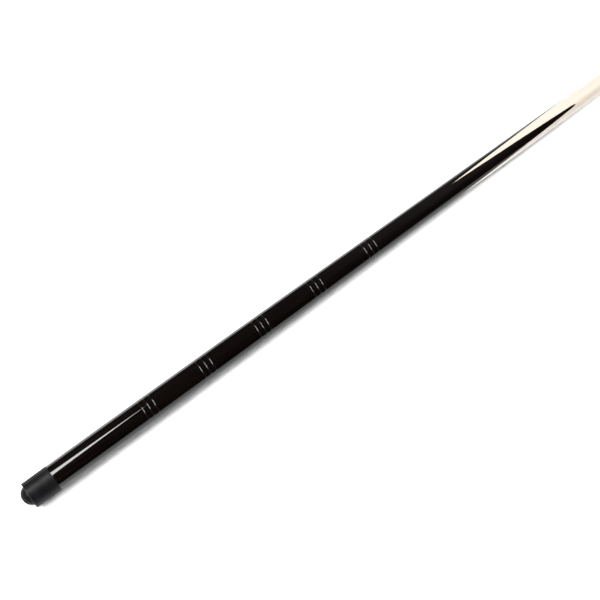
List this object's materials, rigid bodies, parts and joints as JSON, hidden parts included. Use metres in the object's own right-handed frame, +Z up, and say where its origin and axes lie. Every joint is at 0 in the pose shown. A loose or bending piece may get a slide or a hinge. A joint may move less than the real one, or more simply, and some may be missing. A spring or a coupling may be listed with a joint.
{
  "type": "pool cue",
  "caption": "One-piece pool cue: gloss black butt with scribed rings and a rubber bumper, spliced by long points into a tapered maple shaft with a ferrule and leather tip.",
  "frame": {"origin": "centre of the small flat at the end of the bumper's dome, on the cue's axis", "axes": "+X along the cue from butt to leather tip, +Z up with the cue lying down and one maple point 9.5 degrees off straight up towards +Y"},
  "size_m": [1.448, 0.0314, 0.0314],
  "materials": {
    "bumper_rubber": "matt moulded, charcoal",
    "bolt_steel": "plain zinc plated",
    "black_lacquer": "black stain under high gloss clear lacquer",
    "maple": "pale close grain under clear lacquer, satin towards the tip",
    "ferrule_plastic": "polished off white",
    "pad_fibre": "turned vulcanised fibre",
    "tip_leather": "pressed leather with chalk on its crown"
  },
  "bodies": {
    "root": {"bumper": "bumper_rubber", "weight_bolt": "bolt_steel", "butt": "black_lacquer", "shaft": "maple", "ferrule": "ferrule_plastic", "tip_pad": "pad_fibre", "leather_tip": "tip_leather"}
  },
  "joints": []
}
